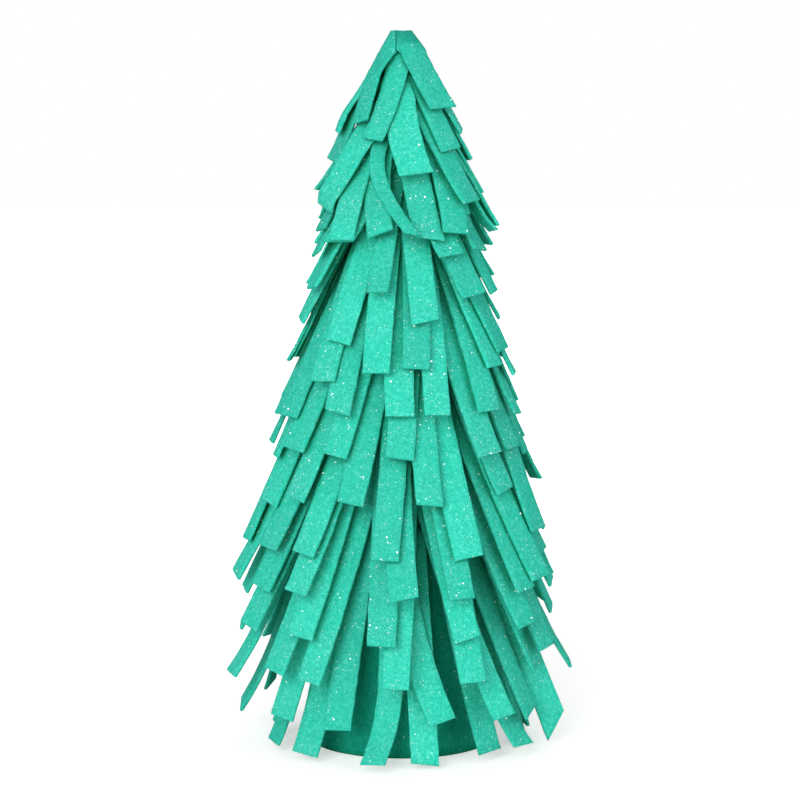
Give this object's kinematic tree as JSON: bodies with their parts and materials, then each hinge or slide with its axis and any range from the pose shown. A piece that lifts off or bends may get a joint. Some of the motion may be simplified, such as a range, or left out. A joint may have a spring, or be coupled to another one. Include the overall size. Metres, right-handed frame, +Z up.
{
  "type": "tabletop christmas tree",
  "caption": "Cone-shaped tabletop christmas tree of overlapping rings of cut felt fringe over a felt-covered foam cone.",
  "frame": {"origin": "centre of the foot, on the surface the tree stands on", "axes": "+Z up along the cone's axis, -Y towards the viewer of the picture, +X to the right"},
  "size_m": [0.1441, 0.1385, 0.3007],
  "materials": {
    "fringe_felt": "bright teal craft felt, matte and fibrous, with scattered glitter",
    "tip_felt": "bright teal craft felt, soaked darker by glue in places",
    "cover_felt": "darker teal felt sleeve, matte",
    "base_felt": "dark teal felt disc under the foot, matte",
    "foam": "white expanded foam, hidden"
  },
  "bodies": {
    "root": {"base_disc": "base_felt", "foam_cone": "foam", "cone_cover": "cover_felt", "fringe_row_01": "fringe_felt", "fringe_row_02": "fringe_felt", "fringe_row_03": "fringe_felt", "fringe_row_04": "fringe_felt", "fringe_row_05": "fringe_felt", "fringe_row_06": "fringe_felt", "fringe_row_07": "fringe_felt", "fringe_row_08": "fringe_felt", "fringe_row_09": "fringe_felt", "fringe_row_10": "fringe_felt", "fringe_row_11": "fringe_felt", "fringe_row_12": "fringe_felt", "fringe_row_13": "fringe_felt", "fringe_row_14": "fringe_felt", "fringe_row_15": "fringe_felt", "fringe_row_16": "fringe_felt", "fringe_row_17": "fringe_felt", "fringe_row_18": "fringe_felt", "tip_wrap": "tip_felt"}
  },
  "joints": []
}
